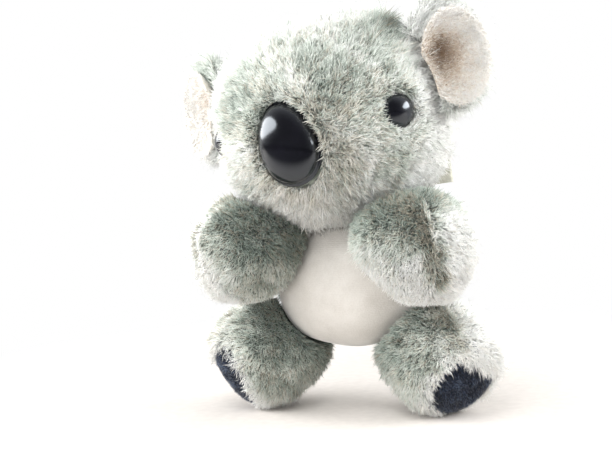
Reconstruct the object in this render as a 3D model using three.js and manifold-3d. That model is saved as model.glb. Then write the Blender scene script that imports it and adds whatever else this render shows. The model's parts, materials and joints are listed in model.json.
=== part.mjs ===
// A small standing plush koala: plush covers over stuffing, a velour belly, felt soles, cupped
// ears and clipped-on eyes and nose. Millimetres, +Z up, the toy faces -Y, its left side is +X.
import * as THREE from 'three';
import { mergeVertices } from 'three/addons/utils/BufferGeometryUtils.js';
import Module from 'manifold-3d';

const wasm = await Module();
wasm.setup();

// Cloth
const pile = 5; // plush fur, root to tip
const backing = 1; // woven ground under every pile
const velour = 1.5; // short pile of the belly
const felt = 1.2; // sole pad
const soleSink = 1.5; // sole pad's face below the fur tips around it
const gap = 0.3; // between neighbours that are sewn or pressed together
const swingGap = 0.6; // left free beside a piece that turns
const pressedFlat = 0.5; // how far a foot is pressed flat where the toy stands
const overrun = 1; // how far a cutting shape runs past what it cuts
const wall = pile + backing;

// Torso, measured over the backing
const torso = {
  middle: [0, 0, 40.5],
  radii: [22.5, 19, 21],
  rootPower: 2.2,
  tipPower: 2,
  taperShare: 0.12,
  swells: [],
};
const sideSeam = [0, -4, 40.5]; // the belly panel lies before a plane through this point
const sideSeamLeanDegrees = 32; // that plane leans, so the panel reaches under the toy

// Head, measured over the fur; the muzzle and both cheeks swell out of it
const muzzleSwell = { toward: [0, -1, -0.3], height: 2.2, spreadDegrees: 28 };
const cheekSwell = { toward: [0.75, -0.5, -0.5], height: 1.2, spreadDegrees: 30 };
const [cheekAcross, ...cheekOnward] = cheekSwell.toward;
const head = {
  middle: [-2.5, -6, 88],
  radii: [37.2, 35, 32],
  rootPower: 2.15,
  tipPower: 2.15,
  taperShare: 0,
  swells: [muzzleSwell, cheekSwell, { ...cheekSwell, toward: [-cheekAcross, ...cheekOnward] }],
};
const headRollDegrees = -6.5;
const headYawDegrees = -5.5;
const neckHoleRadius = 11;
const neckTurnDegrees = [-25, 25];

// Limbs, measured over the fur; each is a sack along an axis that leaves the torso
const arm = {
  middle: [25.7, -21, 50.2],
  outDegrees: 38,
  dipDegrees: 16,
  radius: 17.6,
  length: 18.5,
  rootPower: 2.1,
  tipPower: 2.2,
  taperShare: -0.04,
  hinge: [15, -8],
  swingDegrees: [-5, 30],
};
const leg = {
  middle: [26, -5.5, 18],
  outDegrees: 54,
  dipDegrees: 31,
  radius: 17.2,
  length: 19.5,
  rootPower: 2.1,
  tipPower: 2.6,
  taperShare: -0.05,
  hinge: [13, 0],
  swingDegrees: [-8, 20],
};
const limbSeamZ = 33.8; // arms press on legs along this level
const soleRadius = 11.5;

// Ears, in the head's own frame
const ear = {
  middle: [38.5, -4, 12.5],
  radii: [14.2, 4.5, 18.5],
  cup: 5,
  splayDegrees: 32,
  rightDrop: 2, // the right ear sits this much lower than the left one
  flexDegrees: [-12, 12],
  hingeX: 34,
};
const lining = {
  shift: [2.2, -2.6, -1.4],
  radii: [11.2, 3, 15.2],
};

// Eyes and nose: a dome on a shank, held inside by a washer
const eye = {
  aroundDegrees: 56,
  height: -2.4,
  rollDegrees: 0,
  radius: 5.3,
  dome: 5.2,
  rim: 0,
  rimThickness: 0.8,
  shankRadius: 1.5,
  shankLength: 7.5,
  washerRadius: 4.5,
  washerThickness: 1.4,
  widthShare: 1,
  narrowShare: 0,
};
const nose = {
  aroundDegrees: 0,
  height: -8,
  rollDegrees: 12, // pushed on a little askew
  radius: 12.4,
  dome: 7.2,
  rim: 0.9,
  rimThickness: 1.4,
  shankRadius: 2.5,
  shankLength: 9,
  washerRadius: 8,
  washerThickness: 1.8,
  widthShare: 0.78,
  narrowShare: 0.1,
};

// Blank folded label sewn into the side of the head, in the head's own frame
const label = {
  aroundDegrees: 112,
  height: -24,
  rollDegrees: 0,
  reach: 12,
  tuck: 4,
  width: 7,
  ribbon: 0.5,
  fold: 0.6,
};

// Facets around and along each kind of surface, and how many turns of a swing are cut free
const headFacets = [26, 15];
const torsoFacets = [20, 12];
const limbFacets = [18, 11];
const earFacets = [16, 9];
const innerFacets = [12, 7];
const domeTurns = 16;
const domeSteps = 4;
const roundTurns = 16;
const foldSteps = 4;
const swingSteps = 3;

const radians = THREE.MathUtils.degToRad;
const vector = (list) => new THREE.Vector3(...list);
const up = new THREE.Vector3(0, 0, 1);

// Makes a solid of a closed geometry
function solidOf(geometry) {
  geometry.deleteAttribute('normal');
  geometry.deleteAttribute('uv');
  const merged = mergeVertices(geometry);
  return new wasm.Manifold(new wasm.Mesh({
    numProp: 3,
    vertProperties: new Float32Array(merged.attributes.position.array),
    triVerts: new Uint32Array(merged.index.array),
  }));
}

// Makes a geometry of a solid, seen from an origin
function geometryOf(solid, origin) {
  const mesh = solid.getMesh();
  const geometry = new THREE.BufferGeometry();
  geometry.setAttribute('position', new THREE.BufferAttribute(mesh.vertProperties, 3));
  geometry.setIndex(new THREE.BufferAttribute(mesh.triVerts, 1));
  geometry.translate(-origin.x, -origin.y, -origin.z);
  geometry.computeVertexNormals();
  return geometry;
}

// A stuffed form in its own frame, poles on Z: radii swell a unit ball, the two powers square its
// root (-Z) and tip (+Z) halves, a taper narrows it towards the tip, and swells push it out
function stuffedGeometry(form, grow, facets) {
  const ball = new THREE.SphereGeometry(1, ...facets).rotateX(Math.PI / 2);
  const spots = ball.attributes.position;
  const spot = new THREE.Vector3();
  for (let i = 0; i < spots.count; i++) {
    spot.fromBufferAttribute(spots, i);
    const direction = spot.clone();
    const power = spot.z > 0 ? form.tipPower : form.rootPower;
    const around = Math.hypot(spot.x, spot.y);
    const reach = (around ** power + Math.abs(spot.z) ** power) ** (-1 / power);
    const narrow = 1 - form.taperShare * spot.z * reach;
    spot.multiplyScalar(reach);
    spot.x *= (form.radii[0] + grow) * narrow;
    spot.y *= (form.radii[1] + grow) * narrow;
    spot.z *= form.radii[2] + grow;
    for (const swell of form.swells) {
      const angle = direction.angleTo(vector(swell.toward)) / radians(swell.spreadDegrees);
      spot.addScaledVector(direction, swell.height * Math.exp(-angle * angle));
    }
    spots.setXYZ(i, spot.x, spot.y, spot.z);
  }
  return ball;
}

// The frame of a form: its middle, with its own Z turned to a direction
function frameAlong(middle, direction) {
  const turn = new THREE.Quaternion().setFromUnitVectors(up, direction.clone().normalize());
  return new THREE.Matrix4().compose(middle, turn, new THREE.Vector3(1, 1, 1));
}

// A closed round bar from one height to another on Z, in a frame
function bar(radius, from, to, frame) {
  const geometry = new THREE.CylinderGeometry(radius, radius, to - from, roundTurns);
  geometry.rotateX(Math.PI / 2).translate(0, 0, (from + to) / 2);
  return solidOf(geometry.applyMatrix4(frame));
}

// A solid turned about an upright line through (x, y)
function turned(solid, line, degrees) {
  const shift = new THREE.Matrix4().makeTranslation(line[0], line[1], 0);
  const back = new THREE.Matrix4().makeTranslation(-line[0], -line[1], 0);
  const turn = new THREE.Matrix4().makeRotationZ(radians(degrees));
  return solid.transform(shift.multiply(turn).multiply(back).elements);
}

// Angles spread evenly over a range, both ends included
function spread(range) {
  const steps = [...Array(swingSteps + 1).keys()];
  return steps.map((step) => range[0] + (range[1] - range[0]) * step / swingSteps);
}

// What is left of a solid once another has been taken away at each of several turns about a line
function clearOf(solid, cutter, line, angles) {
  return angles.reduce((left, angle) => left.subtract(turned(cutter, line, angle)), solid);
}

// Everything beyond a plane through a point, on the side that a direction points to
const farReach = 2 * (head.middle[2] + head.radii[2]);
function beyond(point, direction) {
  const half = new THREE.BoxGeometry(farReach, farReach, farReach).translate(0, 0, farReach / 2);
  return solidOf(half.applyMatrix4(frameAlong(point, direction)));
}
const above = (z) => beyond(new THREE.Vector3(0, 0, z), up);
const below = (z) => beyond(new THREE.Vector3(0, 0, z), up.clone().negate());

// Head frame: rolled sideways and turned a little on the neck
const headTurn = new THREE.Euler(0, radians(headRollDegrees), radians(headYawDegrees), 'ZYX');
const headFrame = new THREE.Matrix4().compose(
  vector(head.middle),
  new THREE.Quaternion().setFromEuler(headTurn),
  new THREE.Vector3(1, 1, 1),
);
const headForm = (grow, facets) => solidOf(stuffedGeometry(head, grow, facets));
const neckLine = [head.middle[0], head.middle[1]];

// The head as the torso and the arms meet it, in the toy's frame: at rest, and turned on the neck
const headAt = (grow) => solidOf(stuffedGeometry(head, grow, headFacets).applyMatrix4(headFrame));
const restingHead = headAt(gap);
const turningHead = headAt(swingGap);
function freeOfHead(solid) {
  return clearOf(solid.subtract(restingHead), turningHead, neckLine, spread(neckTurnDegrees));
}

// Torso: plush back, velour belly and stuffing
const torsoFrame = new THREE.Matrix4().makeTranslation(...torso.middle);
function torsoForm(grow, facets) {
  return solidOf(stuffedGeometry(torso, grow, facets).applyMatrix4(torsoFrame));
}
const lean = radians(sideSeamLeanDegrees);
const backwards = new THREE.Vector3(0, Math.cos(lean), Math.sin(lean));
const forwards = backwards.clone().negate();
const seamShifted = (distance) => vector(sideSeam).addScaledVector(backwards, distance);
const torsoInside = torsoForm(-backing, innerFacets);
const torsoBack = freeOfHead(torsoForm(pile, torsoFacets)
  .subtract(torsoInside)
  .intersect(beyond(seamShifted(gap / 2), backwards)));
const bellyPanel = freeOfHead(torsoForm(velour, torsoFacets)
  .subtract(torsoInside)
  .intersect(beyond(seamShifted(-gap / 2), forwards)));
const torsoStuffing = freeOfHead(torsoForm(-backing - gap, innerFacets));
function torsoOutside(grow) {
  return torsoForm(pile + grow, torsoFacets)
    .intersect(beyond(seamShifted(-grow), backwards))
    .add(torsoForm(velour + grow, torsoFacets));
}
const restingTorso = torsoOutside(gap);
const swingingTorso = torsoOutside(swingGap);

// A limb's form for one side: side is 1 for the toy's left and -1 for its right
function limbFrame(limb, side) {
  const out = radians(limb.outDegrees);
  const dip = radians(limb.dipDegrees);
  const direction = new THREE.Vector3(
    side * Math.sin(out) * Math.cos(dip),
    -Math.cos(out) * Math.cos(dip),
    -Math.sin(dip),
  );
  return frameAlong(new THREE.Vector3(side * limb.middle[0], limb.middle[1], limb.middle[2]), direction);
}
function limbGeometry(limb, frame, grow, facets) {
  const form = { ...limb, radii: [limb.radius, limb.radius, limb.length], swells: [] };
  return stuffedGeometry(form, grow, facets).applyMatrix4(frame);
}
const limbForm = (...sizes) => solidOf(limbGeometry(...sizes));
const limbHinge = (limb, side) => [side * limb.hinge[0], limb.hinge[1]];

// A limb swings outwards and in, so seen from the limb everything else swings back
const seenFromLimb = (limb, side) => spread(limb.swingDegrees).map((angle) => -side * angle);
function freeOfTorso(solid, limb, side) {
  const rest = solid.subtract(restingTorso);
  return clearOf(rest, swingingTorso, limbHinge(limb, side), seenFromLimb(limb, side));
}

// Arm: closed at its paw, open at its seam, cut by the torso, the head and the leg below it
function armParts(side) {
  const frame = limbFrame(arm, side);
  const line = limbHinge(arm, side);
  function fitted(solid) {
    const clear = freeOfHead(freeOfTorso(solid, arm, side).intersect(above(limbSeamZ + gap / 2)));
    const swung = clearOf(clear, turningHead, line, seenFromLimb(arm, side));
    return [0, 1].reduce((left, end) => {
      const headThere = turned(turningHead, neckLine, neckTurnDegrees[end]);
      return clearOf(left, headThere, line, [-side * arm.swingDegrees[end]]);
    }, swung);
  }
  const inside = limbForm(arm, frame, -wall, innerFacets).subtract(headAt(wall));
  return {
    cover: fitted(limbForm(arm, frame, 0, limbFacets).subtract(inside)),
    stuffing: fitted(limbForm(arm, frame, -wall - gap, innerFacets).subtract(headAt(wall + gap))),
  };
}

// The floor presses the lowest of a leg flat
const legGeometry = limbGeometry(leg, limbFrame(leg, 1), 0, limbFacets);
const floorZ = new THREE.Box3().setFromBufferAttribute(legGeometry.attributes.position).min.z + pressedFlat;

// Leg: open at its seam and at its sole, where a felt pad closes it
function legParts(side) {
  const frame = limbFrame(leg, side);
  function fitted(solid) {
    return freeOfTorso(solid, leg, side)
      .intersect(below(limbSeamZ - gap / 2))
      .intersect(above(floorZ));
  }
  const form = (grow, facets) => limbForm(leg, frame, grow, facets);
  const soleBar = (radius) => bar(radius, 0, leg.length + overrun, frame);
  const plug = soleBar(soleRadius - gap).intersect(form(-soleSink - felt - gap, limbFacets));
  return {
    cover: fitted(form(0, limbFacets).subtract(form(-wall, innerFacets)).subtract(soleBar(soleRadius + gap))),
    stuffing: fitted(form(-wall - gap, innerFacets).add(plug)),
    pad: fitted(form(-soleSink, limbFacets)
      .subtract(form(-soleSink - felt, limbFacets))
      .intersect(soleBar(soleRadius))),
  };
}

// A clipped-on button in its own frame, Z outwards from the backing: dome, optional rim, shank
function buttonProfile(button, grow) {
  const points = [[0, -button.shankLength - grow]];
  points.push([button.shankRadius + grow, -button.shankLength - grow]);
  points.push([button.shankRadius + grow, -grow]);
  points.push([button.radius + grow, -grow]);
  points.push([button.radius + grow, button.rimThickness]);
  const domeRadius = button.radius + grow - button.rim;
  for (let i = 0; i <= domeSteps; i++) {
    const angle = (Math.PI / 2) * i / domeSteps;
    const rise = (button.dome + grow - button.rimThickness) * Math.sin(angle);
    points.push([domeRadius * Math.cos(angle), button.rimThickness + rise]);
  }
  points[points.length - 1][0] = 0;
  return points.map(([r, z]) => new THREE.Vector2(r, z));
}
function buttonSolid(button, grow, frame) {
  const geometry = new THREE.LatheGeometry(buttonProfile(button, grow), domeTurns).rotateX(Math.PI / 2);
  const spots = geometry.attributes.position;
  for (let i = 0; i < spots.count; i++) {
    const high = spots.getY(i) / button.radius;
    const onFace = spots.getZ(i) > -gap - grow;
    const narrow = onFace ? button.widthShare * (1 - button.narrowShare * high) : 1;
    spots.setX(i, spots.getX(i) * narrow);
  }
  return solidOf(geometry.applyMatrix4(frame));
}

// The washer that grips the shank behind the backing, and the room that it takes there
function washerSolid(button, frame) {
  const front = -backing - gap;
  return bar(button.washerRadius, front - button.washerThickness, front, frame);
}
function washerRoom(button, front, frame) {
  const back = -backing - 2 * gap - button.washerThickness;
  return bar(button.washerRadius + gap, back, front, frame);
}

// A place on the head's backing, at a turn from the face and a height: Z is the outward normal,
// and the place is rolled about it
function headSpot({ aroundDegrees, height, rollDegrees }, side) {
  const around = radians(side * aroundDegrees);
  const level = Math.sqrt(1 - (height / head.radii[2]) ** 2);
  const [across, deep, tall] = head.radii.map((radius) => radius - pile);
  const face = new THREE.Vector3(Math.sin(around) * across, -Math.cos(around) * deep, 0);
  face.multiplyScalar(level);
  const outwards = new THREE.Vector3(face.x / across ** 2, face.y / deep ** 2, 0).normalize();
  for (const swell of head.swells) {
    const angle = outwards.angleTo(vector(swell.toward)) / radians(swell.spreadDegrees);
    face.addScaledVector(outwards, swell.height * Math.exp(-angle * angle));
  }
  const sideways = new THREE.Vector3().crossVectors(up, outwards);
  const frame = new THREE.Matrix4().makeBasis(sideways, up, outwards);
  frame.multiply(new THREE.Matrix4().makeRotationZ(radians(rollDegrees)));
  return frame.setPosition(face.x, face.y, height * tall / head.radii[2]);
}

// Label: a ribbon folded in two, its fold outermost and its ends caught at the backing
const labelFrame = headSpot(label, 1);
function foldedPlate(half, width) {
  const bend = label.reach - label.fold / 2 - label.ribbon;
  const outline = new THREE.Shape();
  outline.moveTo(-half, -label.tuck);
  outline.lineTo(-half, bend);
  outline.absarc(0, bend, half, Math.PI, 0, true);
  outline.lineTo(half, -label.tuck);
  outline.closePath();
  const settings = { depth: width, bevelEnabled: false, curveSegments: foldSteps };
  const plate = new THREE.ExtrudeGeometry(outline, settings);
  return solidOf(plate.translate(0, 0, -width / 2).rotateX(Math.PI / 2).applyMatrix4(labelFrame));
}
const labelHalf = label.fold / 2 + label.ribbon;
const sewnLabel = foldedPlate(labelHalf, label.width)
  .subtract(foldedPlate(label.fold / 2, label.width + 2 * overrun))
  .subtract(headForm(gap - pile, headFacets));
const labelSlot = foldedPlate(labelHalf + gap, label.width + 2 * gap)
  .subtract(headForm(-pile, headFacets));

// Head: cover with a neck hole and seats for the eyes and nose, and stuffing that fills the hole
const buttons = [
  { name: 'nose', washer: 'nose_washer', sizes: nose, frame: headSpot(nose, 1) },
  { name: 'left_eye', washer: 'left_eye_washer', sizes: eye, frame: headSpot(eye, 1) },
  { name: 'right_eye', washer: 'right_eye_washer', sizes: eye, frame: headSpot(eye, -1) },
];
// The pile is parted over a button, so its seat runs out through the fur
function buttonSeat(button) {
  const { sizes, frame } = button;
  const open = { ...sizes, dome: sizes.dome + pile + overrun, rim: 0, rimThickness: sizes.dome + pile };
  return buttonSolid(open, gap, frame);
}
function withSeats(solid, front) {
  return buttons.reduce((left, button) => {
    return left.subtract(buttonSeat(button)).subtract(washerRoom(button.sizes, front, button.frame));
  }, solid);
}
const neckBar = (radius) => bar(radius, -head.radii[2] - overrun, 0, new THREE.Matrix4());
const neckPlug = neckBar(neckHoleRadius - gap).intersect(headForm(0, headFacets));
const headCover = withSeats(headForm(0, headFacets)
  .subtract(headForm(-wall, innerFacets))
  .subtract(neckBar(neckHoleRadius))
  .subtract(labelSlot), -backing);
const headStuffing = withSeats(headForm(-wall - gap, innerFacets).add(neckPlug), pile);

// Ear: a dished plush disc with a lining let into its front, both cut by the side of the head
function dished(radii, middle, side, grow, facets) {
  const disc = new THREE.SphereGeometry(1, ...facets);
  const spots = disc.attributes.position;
  for (let i = 0; i < spots.count; i++) {
    const x = spots.getX(i);
    const z = spots.getZ(i);
    const forward = ear.cup * (x * x + z * z);
    spots.setXYZ(
      i,
      middle[0] * side + x * (radii[0] + grow),
      middle[1] + spots.getY(i) * (radii[1] + grow) - forward,
      middle[2] + z * (radii[2] + grow),
    );
  }
  return solidOf(disc);
}
const earHeight = (side) => ear.middle[2] - (side < 0 ? ear.rightDrop : 0);
function earParts(side) {
  const middle = [ear.middle[0], ear.middle[1], earHeight(side)];
  const liningMiddle = middle.map((value, i) => value + lining.shift[i]);
  const line = [side * ear.hingeX, ear.middle[1]];
  const form = (...sizes) => turned(dished(...sizes), line, side * ear.splayDegrees);
  const cut = (solid) => clearOf(
    solid.subtract(headForm(gap, headFacets)),
    headForm(swingGap, headFacets),
    line,
    spread(ear.flexDegrees),
  );
  return {
    back: cut(form(ear.radii, middle, side, 0, earFacets)
      .subtract(form(lining.radii, liningMiddle, side, gap, innerFacets))),
    lining: cut(form(lining.radii, liningMiddle, side, 0, innerFacets)),
  };
}

// Colours and finishes
const finishes = {
  plush: new THREE.MeshStandardMaterial({ color: 0xa9b3a4, roughness: 0.95, metalness: 0 }),
  velour: new THREE.MeshStandardMaterial({ color: 0xe9e4de, roughness: 0.9, metalness: 0 }),
  lining: new THREE.MeshStandardMaterial({ color: 0xe6dccd, roughness: 0.95, metalness: 0 }),
  felt: new THREE.MeshStandardMaterial({ color: 0x23283f, roughness: 0.9, metalness: 0 }),
  glossy: new THREE.MeshStandardMaterial({ color: 0x0b0b0f, roughness: 0.08, metalness: 0 }),
  washer: new THREE.MeshStandardMaterial({ color: 0xdedede, roughness: 0.5, metalness: 0 }),
  stuffing: new THREE.MeshStandardMaterial({ color: 0xf4f2ec, roughness: 1, metalness: 0 }),
  ribbon: new THREE.MeshStandardMaterial({ color: 0xeee9d8, roughness: 0.6, metalness: 0 }),
};

// A named piece, with its own origin at a point of the group that holds it
function piece(name, solid, finish, origin = new THREE.Vector3()) {
  const mesh = new THREE.Mesh(geometryOf(solid, origin), finishes[finish]);
  mesh.name = name;
  mesh.position.copy(origin);
  return mesh;
}

const group = new THREE.Group();
group.add(
  piece('torso_back', torsoBack, 'plush'),
  piece('belly_panel', bellyPanel, 'velour'),
  piece('torso_stuffing', torsoStuffing, 'stuffing'),
);

const headGroup = new THREE.Group();
headGroup.position.fromArray(head.middle);
headGroup.rotation.copy(headTurn);
headGroup.add(
  piece('head_cover', headCover, 'plush'),
  piece('head_stuffing', headStuffing, 'stuffing'),
  piece('sewn_in_label', sewnLabel, 'ribbon', new THREE.Vector3().setFromMatrixPosition(labelFrame)),
);
for (const { name, washer, sizes, frame } of buttons) {
  const middle = new THREE.Vector3().setFromMatrixPosition(frame);
  const hole = buttonSolid(sizes, gap, frame);
  headGroup.add(
    piece(name, buttonSolid(sizes, 0, frame), 'glossy', middle),
    piece(washer, washerSolid(sizes, frame).subtract(hole), 'washer', middle),
  );
}
group.add(headGroup);

for (const [side, which] of [[1, 'left'], [-1, 'right']]) {
  const arms = armParts(side);
  const legs = legParts(side);
  const ears = earParts(side);
  const shoulder = new THREE.Vector3(side * arm.hinge[0], arm.hinge[1], arm.middle[2]);
  const hip = new THREE.Vector3(side * leg.hinge[0], leg.hinge[1], leg.middle[2]);
  const earRoot = new THREE.Vector3(side * ear.hingeX, ear.middle[1], earHeight(side));
  group.add(
    piece(`${which}_arm_cover`, arms.cover, 'plush', shoulder),
    piece(`${which}_arm_stuffing`, arms.stuffing, 'stuffing', shoulder),
    piece(`${which}_leg_cover`, legs.cover, 'plush', hip),
    piece(`${which}_leg_stuffing`, legs.stuffing, 'stuffing', hip),
    piece(`${which}_sole_pad`, legs.pad, 'felt', hip),
  );
  headGroup.add(
    piece(`${which}_ear_back`, ears.back, 'plush', earRoot),
    piece(`${which}_ear_lining`, ears.lining, 'lining', earRoot),
  );
}

// The origin is on the floor, under the middle of the toy's box
const toy = new THREE.Group();
toy.add(group);
toy.updateMatrixWorld(true);
const box = new THREE.Box3().setFromObject(toy, true);
const centre = box.getCenter(new THREE.Vector3());
group.position.set(-centre.x, -centre.y, -floorZ);

export default toy;
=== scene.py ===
import json
import math

import bpy
import numpy as np
from mathutils import Matrix


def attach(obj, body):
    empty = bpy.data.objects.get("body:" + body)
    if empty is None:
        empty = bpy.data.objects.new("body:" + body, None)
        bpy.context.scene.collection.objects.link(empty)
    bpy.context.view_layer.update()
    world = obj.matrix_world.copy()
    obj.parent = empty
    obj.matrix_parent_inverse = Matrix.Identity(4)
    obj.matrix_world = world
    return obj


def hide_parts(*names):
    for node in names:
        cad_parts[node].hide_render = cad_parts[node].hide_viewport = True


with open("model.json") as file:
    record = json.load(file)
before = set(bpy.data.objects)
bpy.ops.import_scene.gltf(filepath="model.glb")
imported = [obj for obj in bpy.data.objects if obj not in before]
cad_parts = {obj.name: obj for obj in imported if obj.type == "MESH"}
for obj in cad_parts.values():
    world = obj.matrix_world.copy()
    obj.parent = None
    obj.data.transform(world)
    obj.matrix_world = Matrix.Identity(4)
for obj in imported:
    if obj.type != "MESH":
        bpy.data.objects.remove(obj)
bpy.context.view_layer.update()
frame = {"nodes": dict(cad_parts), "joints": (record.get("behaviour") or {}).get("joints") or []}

# Camera: a long lens just above the chin, a little to the toy's own left and slightly rolled.
# Every length below is in millimetres from the toy's own middle, and mesh_piece places it.
mm = 0.001
hip_to_middle = np.array([13.0, 0.0, 18.0])
left_hip = next(joint for joint in frame["joints"] if joint["name"] == "left_hip")
to_frame = np.array(left_hip["pos_m"]) / mm - hip_to_middle


def way_at(azimuth, rise):
    """The unit direction at an azimuth from the toy's front (-Y) towards its own left (+X) and a
    rise above the level, in degrees."""
    a, r = math.radians(azimuth), math.radians(rise)
    return np.array([math.sin(a) * math.cos(r), -math.cos(a) * math.cos(r), math.sin(r)])


view_azimuth, view_rise, view_roll = 22, 4, math.radians(-2.5)
view_target, view_distance = np.array([-15.9, 0.0, 53.4]), 349.0
sensor_width, picture_width, focal_pixels = 36.0, 612, 1100
towards_camera, view_turn = way_at(view_azimuth, view_rise), math.radians(view_azimuth)
level_right = np.array([math.cos(view_turn), math.sin(view_turn), 0.0])
level_up = np.cross(towards_camera, level_right)
camera_right = level_right * math.cos(view_roll) + level_up * math.sin(view_roll)
camera_up = np.cross(towards_camera, camera_right)
camera_at = (view_target + view_distance * towards_camera + to_frame) * mm
camera_place = np.stack([camera_right, camera_up, towards_camera, camera_at], 1)
camera = bpy.data.objects.new("camera", bpy.data.cameras.new("camera"))
camera.data.sensor_width = sensor_width
camera.data.lens = sensor_width * focal_pixels / picture_width
camera.data.clip_start = 0.01
camera.matrix_world = Matrix([*camera_place.tolist(), (0, 0, 0, 1)])
bpy.context.scene.collection.objects.link(camera)
bpy.context.scene.camera = camera

# Stuffing: loose fibre filling that gives the torso, head, arms and legs their rounded forms.
# It is packed by hand through a gap in a seam, so each form is a little lumpy.
pile, backing, velour_pile, gap, swing_gap = 5.0, 1.0, 1.5, 0.3, 0.6
sides = {"left": 1, "right": -1}
upright = np.eye(3)


def unit(vectors):
    """Each vector divided by its own length."""
    return vectors / np.maximum(np.linalg.norm(vectors, axis=-1, keepdims=True), 1e-9)


def between(values, low, high):
    """A smooth step from 0 at low to 1 at high."""
    t = np.clip((values - low) / (high - low), 0, 1)
    return t * t * (3 - 2 * t)


def bell(values, width):
    """exp(-(value / width)^2): 1 at 0, and almost 0 past twice the width."""
    return np.exp(-((values / width) ** 2))


def angle_from(ways, way):
    """The angle in radians between each of many unit directions and one."""
    return np.arccos(np.clip(ways @ way, -1, 1))


def rings_about_z(polar, around):
    """Unit directions in rings that turn round Z, one at each polar angle."""
    polar, turn = polar[:, None], 2 * np.pi * np.arange(around) / around
    return np.stack([
        np.sin(polar) * np.cos(turn), np.sin(polar) * np.sin(turn), np.cos(polar) + 0 * turn,
    ], -1).reshape(-1, 3)


def ring_quads(rows, around):
    """Quads from each ring of points to the next."""
    row, column = np.indices((rows, around)).reshape(2, -1)
    step = (column + 1) % around
    return np.stack([
        row * around + column, (row + 1) * around + column,
        (row + 1) * around + step, row * around + step,
    ], -1)


def ball_grid(around, along):
    """A ball's unit directions, in rings at even polar angles and then both poles, and its faces:
    quads between the rings and a fan of triangles round each pole."""
    rings = rings_about_z(np.pi * np.arange(1, along) / along, around)
    column = np.arange(around)
    step = (column + 1) % around
    top, bottom, last = around * (along - 1), around * (along - 1) + 1, around * (along - 2)
    fans = np.vstack([
        np.stack([np.full(around, top), column, step], -1),
        np.stack([np.full(around, bottom), last + step, last + column], -1),
    ])
    return np.vstack([rings, [[0, 0, 1], [0, 0, -1]]]), (ring_quads(along - 2, around), fans)


def turn_to(direction):
    """The least rotation that takes Z to a direction, as a matrix of columns."""
    x, y, z = unit(np.array(direction, float))
    cross = np.array([[0, 0, x], [0, 0, y], [-x, -y, 0]])
    return np.eye(3) + cross + cross @ cross / (1 + z)


def stuffed_form(middle, turn, radii, powers, taper=0.0, swells=()):
    """The sizes of a stuffed form: radii of a ball squared by a power in its root (-Z) and tip
    (+Z) halves, narrowed towards the tip by a taper, and pushed out at swells, each of which is a
    direction, a height and a spread in degrees."""
    return {
        "middle": np.array(middle, float), "turn": np.array(turn, float),
        "radii": np.array(radii, float), "powers": powers, "taper": taper, "swells": swells,
    }


def swell_heights(form, directions):
    """How far the swells push each direction out: a height times a bell of the angle."""
    total = np.zeros(len(directions))
    for way, height, spread in form["swells"]:
        way = unit(np.array(way, float))
        total += height * bell(angle_from(directions, way), math.radians(spread))
    return total


def form_points(form, grow, directions):
    """The form's surface along each direction, with its radii grown by grow."""
    root_power, tip_power = form["powers"]
    power = np.where(directions[:, 2] > 0, tip_power, root_power)
    around = np.hypot(directions[:, 0], directions[:, 1])
    reach = (around**power + np.abs(directions[:, 2]) ** power) ** (-1 / power)
    local = directions * reach[:, None]
    narrow = 1 - form["taper"] * local[:, 2]
    local = local * (form["radii"] + grow)
    local[:, :2] *= narrow[:, None]
    local += directions * swell_heights(form, directions)[:, None]
    return form["middle"] + local @ form["turn"].T


def share_of_form(form, grow, points):
    """Under 1 inside the grown form, 1 on it and more outside: the power mean of the shares of
    the radii that a point lies at."""
    local = (points - form["middle"]) @ form["turn"]
    directions = unit(local / form["radii"])
    push = swell_heights(form, directions)[:, None] if form["swells"] else 0
    shares = local / (form["radii"] + grow + push)
    narrow = 1 - form["taper"] * np.clip(shares[:, 2], -1, 1)
    around = np.hypot(shares[:, 0], shares[:, 1]) / narrow
    power = np.where(shares[:, 2] > 0, form["powers"][1], form["powers"][0])
    return (around**power + np.abs(shares[:, 2]) ** power) ** (1 / power)


def turned_about(points, line, degrees):
    """Points turned about the upright line through (x, y)."""
    c, s = math.cos(math.radians(degrees)), math.sin(math.radians(degrees))
    x, y = points[:, 0] - line[0], points[:, 1] - line[1]
    return np.stack([line[0] + c * x - s * y, line[1] + s * x + c * y, points[:, 2]], -1)


def swept(neighbour, line, angles):
    """A neighbour as it lies at each of several turns about an upright line."""
    return lambda points: np.min(
        [neighbour(turned_about(points, line, -angle)) for angle in angles], axis=0,
    )


def seated(points, middle, neighbours, halvings=18):
    """Points that lie inside a neighbour, drawn back to its surface along the line to the middle,
    by halving."""
    low, high = np.zeros(len(points)), np.ones(len(points))

    def touches(share):
        at = middle + share[:, None] * (points - middle)
        return np.min([neighbour(at) for neighbour in neighbours], axis=0) < 1

    hit = touches(high)
    for _ in range(halvings):
        half = (low + high) / 2
        blocked = touches(half)
        low, high = np.where(blocked, low, half), np.where(blocked, half, high)
    share = np.where(hit, low, 1)
    return middle + share[:, None] * (points - middle)


def lumps(points, size, seed):
    """A smooth field between about -1 and 1: ten sine waves of about one length in random ways."""
    rng = np.random.default_rng(seed)
    ways = unit(rng.normal(size=(10, 3))) * (2 * np.pi / size) * rng.uniform(0.6, 1.3, (10, 1))
    return np.sin(points @ ways.T + rng.uniform(0, 2 * np.pi, 10)).sum(1) / 3.2


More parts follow.
